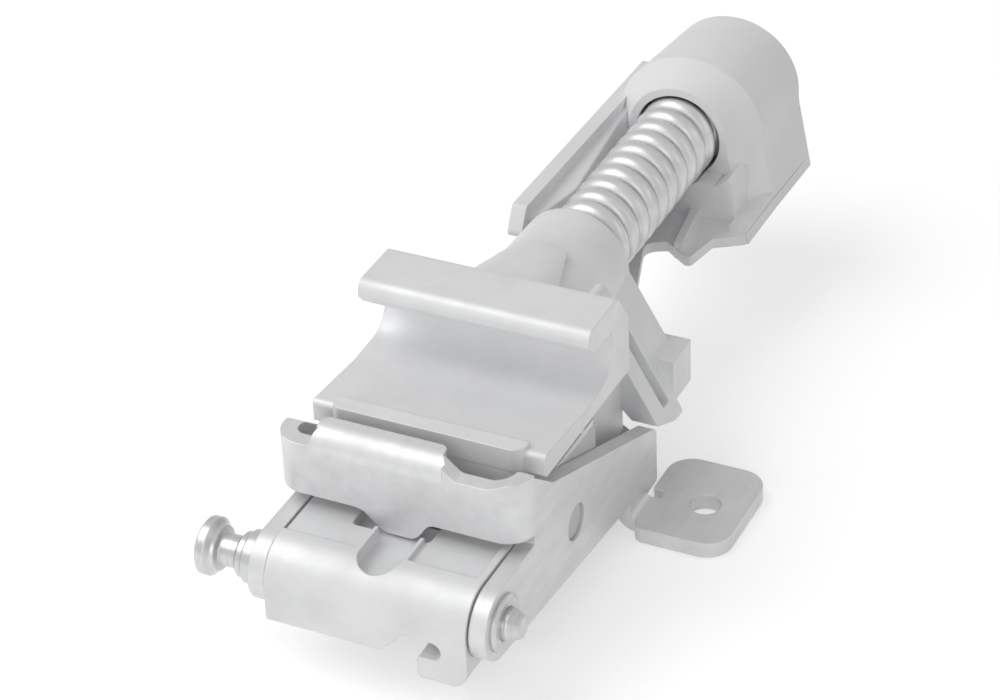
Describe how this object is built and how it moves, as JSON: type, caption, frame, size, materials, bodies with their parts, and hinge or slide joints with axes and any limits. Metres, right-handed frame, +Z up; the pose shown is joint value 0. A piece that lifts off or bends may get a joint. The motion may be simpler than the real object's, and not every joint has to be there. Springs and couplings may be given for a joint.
{
  "type": "sprung door latch",
  "caption": "Door latch with a pressed steel bracket, a hooked pawl on a spool headed hinge pin and a finger pulled slide held forward by a compression spring.",
  "frame": {"origin": "centre of the foot hole on the underside of the foot", "axes": "+X to the right along the hinge pin, +Y to the rear along the spring, +Z up out of the foot hole"},
  "size_m": [0.0762, 0.1627, 0.0525],
  "materials": {
    "zinc_steel": "zinc plated pressed sheet",
    "bright_steel": "turned and polished",
    "spring_steel": "plated spring wire",
    "cast_zinc": "die cast, lightly blasted",
    "cast_alloy": "die cast, lightly blasted",
    "grey_nylon": "moulded, fine grain",
    "dark_nylon": "moulded, fine grain",
    "stop_rubber": "moulded rubber"
  },
  "bodies": {
    "frame": {"bracket": "zinc_steel", "hinge_pin": "bright_steel", "left_bush": "bright_steel", "retaining_washer": "bright_steel", "compression_spring": "spring_steel", "rear_spring_disc": "bright_steel", "guide_rod": "bright_steel", "rod_washer": "bright_steel", "rod_nut": "bright_steel", "spring_seat": "grey_nylon", "guide_base": "dark_nylon", "left_guide_strip": "zinc_steel", "right_guide_strip": "zinc_steel", "strip_screws": "bright_steel", "seat_screws": "bright_steel", "stop_pads": "stop_rubber"},
    "slide": {"slide": "cast_alloy", "front_spring_disc": "bright_steel"},
    "pawl": {"pawl": "cast_zinc"}
  },
  "joints": [
    {"name": "slide_travel", "type": "slide", "parent": "frame", "child": "slide", "axis": [0, 1, 0], "range_m": [0, 0.008], "deforming": ["compression_spring"]},
    {"name": "pawl_swing", "type": "hinge", "parent": "frame", "child": "pawl", "pos_m": [-0.0337, -0.0624, 0.018], "axis": [-1, 0, 0], "range_deg": [0, 18]}
  ]
}
